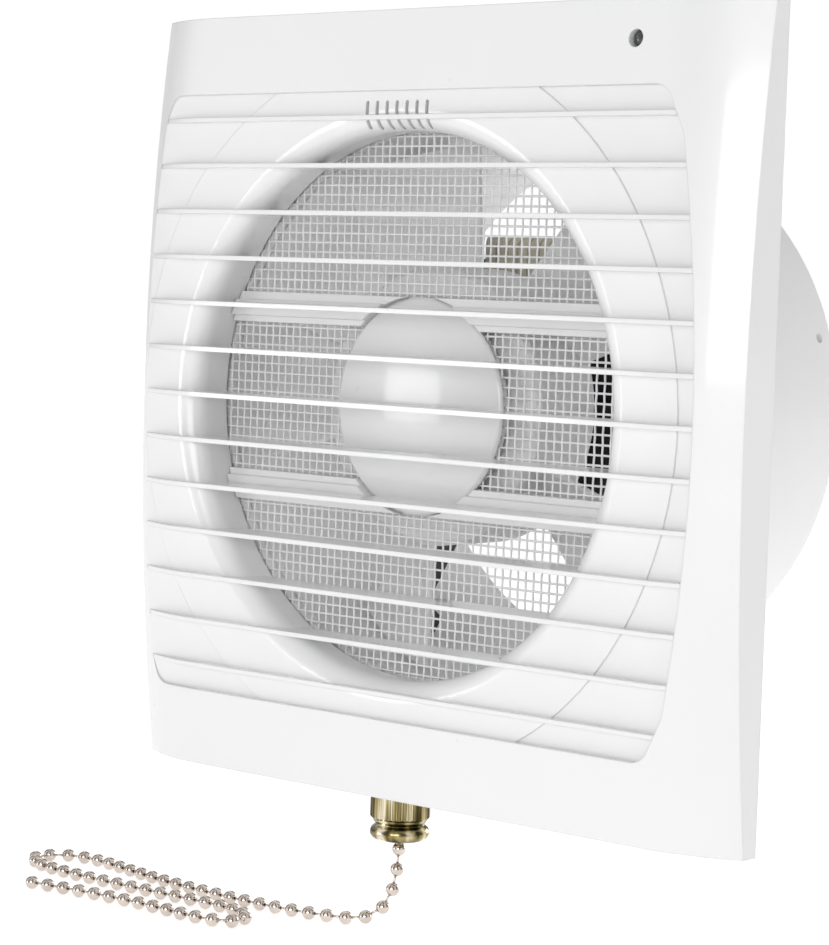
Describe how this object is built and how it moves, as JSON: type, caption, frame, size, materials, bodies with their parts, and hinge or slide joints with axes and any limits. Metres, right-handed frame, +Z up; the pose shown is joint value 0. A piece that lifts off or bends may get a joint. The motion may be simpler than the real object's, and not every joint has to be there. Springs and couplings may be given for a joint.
{
  "type": "bathroom extractor fan",
  "caption": "Square white wall extractor fan with a louvred barrel-fronted cover, a netted round intake, a duct spigot behind and a ball pull chain.",
  "frame": {"origin": "on the duct spigot's axis, in the plane of the wall that the rear housing stands on", "axes": "+Y along the duct into the wall, +Z up, +X to the right as seen from the room"},
  "size_m": [0.2052, 0.1112, 0.2071],
  "materials": {
    "white_gloss_plastic": "glossy moulded ABS",
    "white_satin_plastic": "satin moulded ABS",
    "net_thread": "white nylon thread net, about 2.2 mm mesh",
    "lamp_lens": "small dark lens",
    "zinc_steel": "zinc plated",
    "bright_steel": "ground",
    "rotor_aluminium": "turned, cast end rings",
    "lamination_steel": "stacked laminations",
    "bronze": "sintered, oiled",
    "winding_tape": "pale tape wound over the coil",
    "copper": "bare copper",
    "brass": "plain strip",
    "polished_brass": "polished, knurled",
    "nylon": "natural nylon",
    "black_rubber": "matte",
    "black_plastic": "satin",
    "nickel_chain": "nickel-plated ball chain"
  },
  "bodies": {
    "housing": {"front_cover": "white_gloss_plastic", "louvre_slats": "white_gloss_plastic", "net_frame": "white_satin_plastic", "hub_cap": "white_gloss_plastic", "insect_screen": "net_thread", "pilot_lamp": "lamp_lens", "rear_housing": "white_satin_plastic", "duct_spigot": "white_satin_plastic", "motor_mount": "black_plastic", "front_bearing": "bronze", "rear_bearing": "bronze", "front_bearing_bracket": "zinc_steel", "rear_bearing_bracket": "zinc_steel", "stator_stack": "lamination_steel", "coil_bobbin": "nylon", "coil_winding": "winding_tape", "shading_rings": "copper", "motor_grommets": "black_rubber", "motor_screws": "zinc_steel", "motor_nuts": "zinc_steel", "terminal_block": "nylon", "terminal_screws": "zinc_steel", "cable_clamp": "nylon", "clamp_screws": "zinc_steel", "cable_grommet": "black_rubber", "switch_body": "black_plastic", "switch_lid": "black_plastic", "switch_bush": "nylon", "knurled_nut": "polished_brass", "return_spring": "bright_steel", "switch_contacts": "brass"},
    "impeller_group": {"impeller_hub": "white_satin_plastic", "impeller_blades": "white_satin_plastic", "impeller_nut": "zinc_steel", "motor_shaft": "bright_steel", "rotor": "rotor_aluminium", "thrust_washers": "nylon"},
    "pull": {"pull_plunger": "bright_steel", "pull_chain": "nickel_chain"},
    "cam": {"switch_cam": "nylon"}
  },
  "joints": [
    {"name": "impeller_spin", "type": "hinge", "parent": "housing", "child": "impeller_group", "pos_m": [0, 0, 0], "axis": [0, 1, 0], "continuous": true},
    {"name": "chain_pull", "type": "slide", "parent": "housing", "child": "pull", "axis": [0, 0, -1], "range_m": [0, 0.003], "stiffness_N_per_m": 300, "springref_m": -0.003, "deforming": ["return_spring"]},
    {"name": "cam_turn", "type": "hinge", "parent": "housing", "child": "cam", "pos_m": [-0.0101, -0.0084, -0.0734], "axis": [0, 1, 0], "range_deg": [0, 90]}
  ],
  "couplings": [
    {"joint": "cam_turn", "follows": "chain_pull", "rad_per_m": 523.6}
  ]
}
